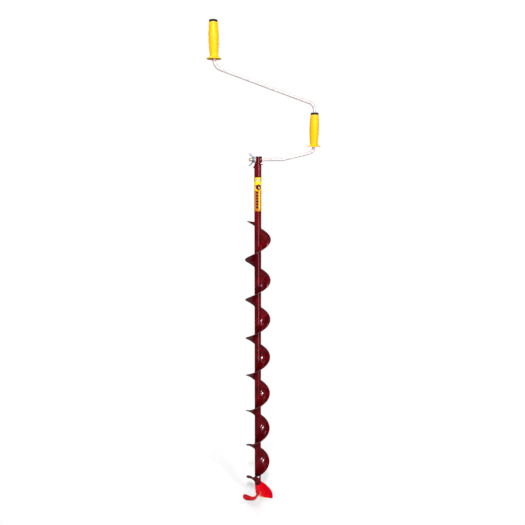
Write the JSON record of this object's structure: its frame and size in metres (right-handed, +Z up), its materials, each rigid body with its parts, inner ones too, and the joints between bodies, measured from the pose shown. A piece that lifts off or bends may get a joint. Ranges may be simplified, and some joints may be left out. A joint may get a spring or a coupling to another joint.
{
  "type": "ice fishing auger",
  "caption": "Hand ice auger: long helical screw on a steel tube, two-knife cutting head, and a folding cranked handle with two turning grips, clamped by a wing nut",
  "frame": {"origin": "on the drilling axis, level with the lowest points of the knives' cutting edges", "axes": "+Z up the drilling axis from the knives to the crank; +X toward the lower grip and the fold bolt's head; -X toward the upper grip and the wing nut; +Y completes a right-handed frame"},
  "size_m": [0.3642, 0.0845, 1.6133],
  "materials": {
    "burgundy_enamel": "gloss enamel with fine orange peel, chipped at edges",
    "red_enamel": "gloss enamel, ground to bare steel along the cutting edges",
    "bright_zinc": "bright zinc plate over drawn steel",
    "blue_zinc": "blue passivated zinc plate",
    "yellow_zinc": "yellow passivated zinc plate",
    "yellow_plastic": "satin moulded polypropylene",
    "black_plastic": "matt moulded plastic",
    "label_film": "printed vinyl film"
  },
  "bodies": {
    "shaft": {"shaft_tube": "burgundy_enamel", "flight": "burgundy_enamel", "neck_plug": "burgundy_enamel", "neck_screw": "burgundy_enamel", "neck_pin": "burgundy_enamel", "label": "label_film", "cutter_shank": "red_enamel", "knife_right": "red_enamel", "knife_left": "red_enamel", "head_bolt": "bright_zinc", "head_washer": "bright_zinc", "head_nut": "bright_zinc"},
    "crank": {"crank_rod": "bright_zinc", "hinge_bolt": "yellow_zinc", "hinge_washer": "burgundy_enamel", "push_nut": "blue_zinc"},
    "washers": {"flat_washer": "blue_zinc", "spring_washer": "blue_zinc"},
    "clamp_nut": {"wing_nut": "blue_zinc"},
    "lower_handle": {"lower_grip": "yellow_plastic", "lower_ring_cap": "black_plastic"},
    "upper_handle": {"upper_grip": "yellow_plastic", "upper_cap": "black_plastic"}
  },
  "joints": [
    {"name": "crank_fold", "type": "hinge", "parent": "shaft", "child": "crank", "pos_m": [0, 0, 1.2247], "axis": [1, 0, 0], "range_deg": [-166, 166]},
    {"name": "washer_slide", "type": "slide", "parent": "crank", "child": "washers", "axis": [-1, 0, 0], "range_m": [0, 0.0015]},
    {"name": "wing_nut_spin", "type": "hinge", "parent": "washers", "child": "clamp_nut", "pos_m": [-0.016, 0, 1.2247], "axis": [-1, 0, 0], "range_deg": [0, 360]},
    {"name": "lower_grip_spin", "type": "hinge", "parent": "crank", "child": "lower_handle", "pos_m": [0.1886, 0, 1.31], "axis": [0, 0, 1], "continuous": true},
    {"name": "upper_grip_spin", "type": "hinge", "parent": "crank", "child": "upper_handle", "pos_m": [-0.133, 0, 1.56], "axis": [0, 0, 1], "continuous": true}
  ],
  "couplings": [
    {"joint": "washer_slide", "follows": "wing_nut_spin", "m_per_rad": 0.00023873}
  ]
}
